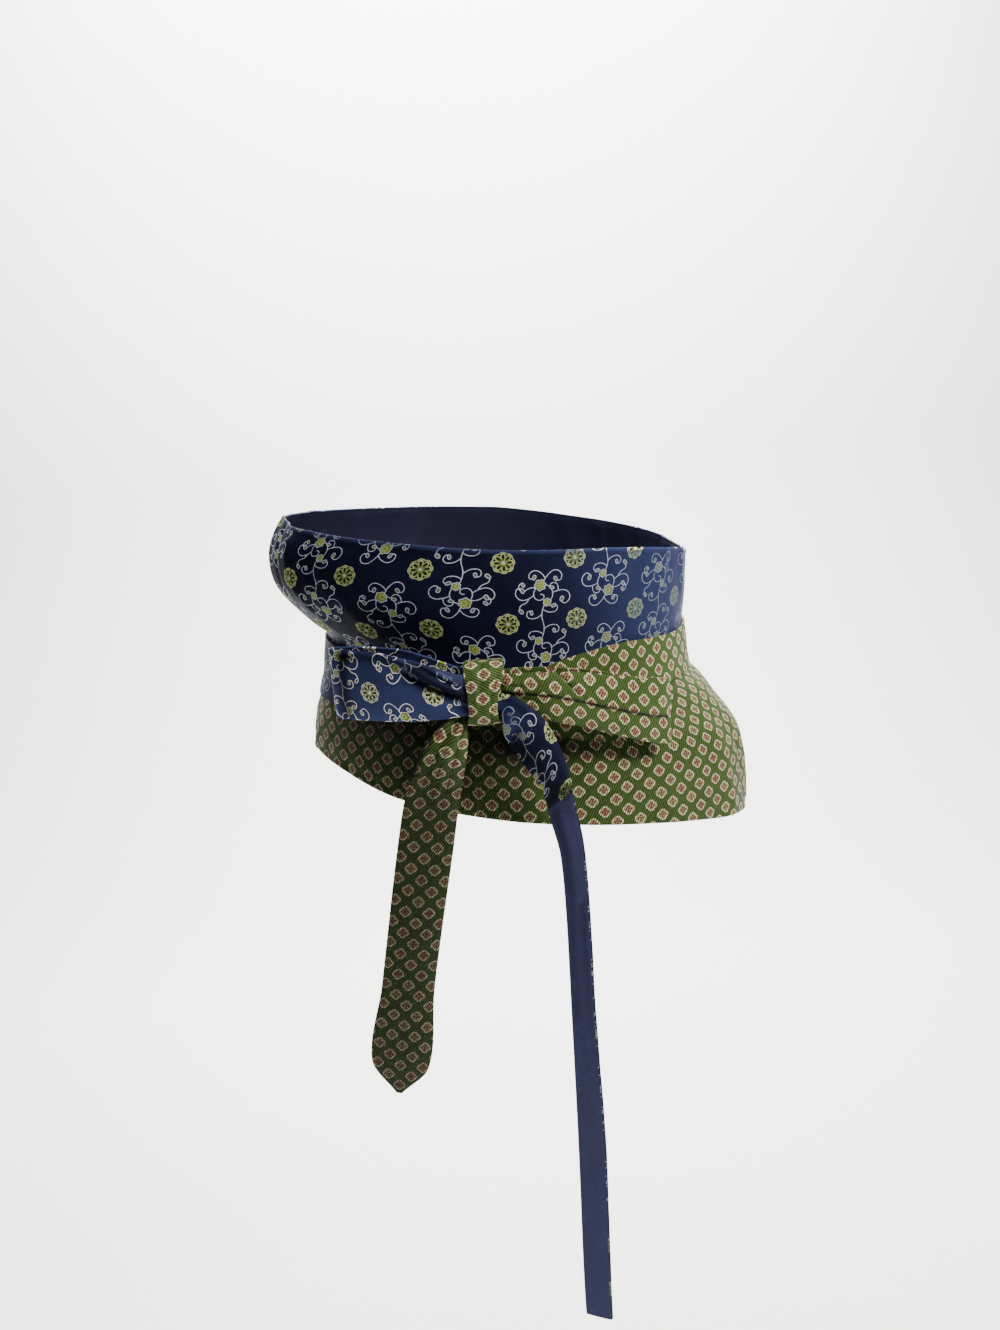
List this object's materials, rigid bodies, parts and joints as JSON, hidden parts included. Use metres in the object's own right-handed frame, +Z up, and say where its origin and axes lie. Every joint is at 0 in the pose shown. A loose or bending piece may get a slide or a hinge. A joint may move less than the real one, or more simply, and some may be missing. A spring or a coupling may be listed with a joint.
{
  "type": "obi sash",
  "caption": "Worn wrap sash of two patterned necktie silks, navy above and green below, tied in front with a bow and two hanging tails.",
  "frame": {"origin": "centre of the wearer's waist, level with the waist ties, where the sash is held", "axes": "+Z up, -Y out of the front where the bow is, +X to the wearer's left"},
  "size_m": [0.3233, 0.2479, 0.5715],
  "materials": {
    "navy_brocade": "satin-ground silk brocade with a woven vine and rosette figure",
    "green_foulard": "printed silk foulard twill with small medallions"
  },
  "bodies": {
    "root": {"navy_panel": "navy_brocade", "green_panel": "green_foulard", "navy_tie": "navy_brocade", "green_tie": "green_foulard", "knot": "green_foulard", "navy_loop": "navy_brocade", "green_loop": "green_foulard", "green_tail": "green_foulard", "navy_tail": "navy_brocade"}
  },
  "joints": []
}
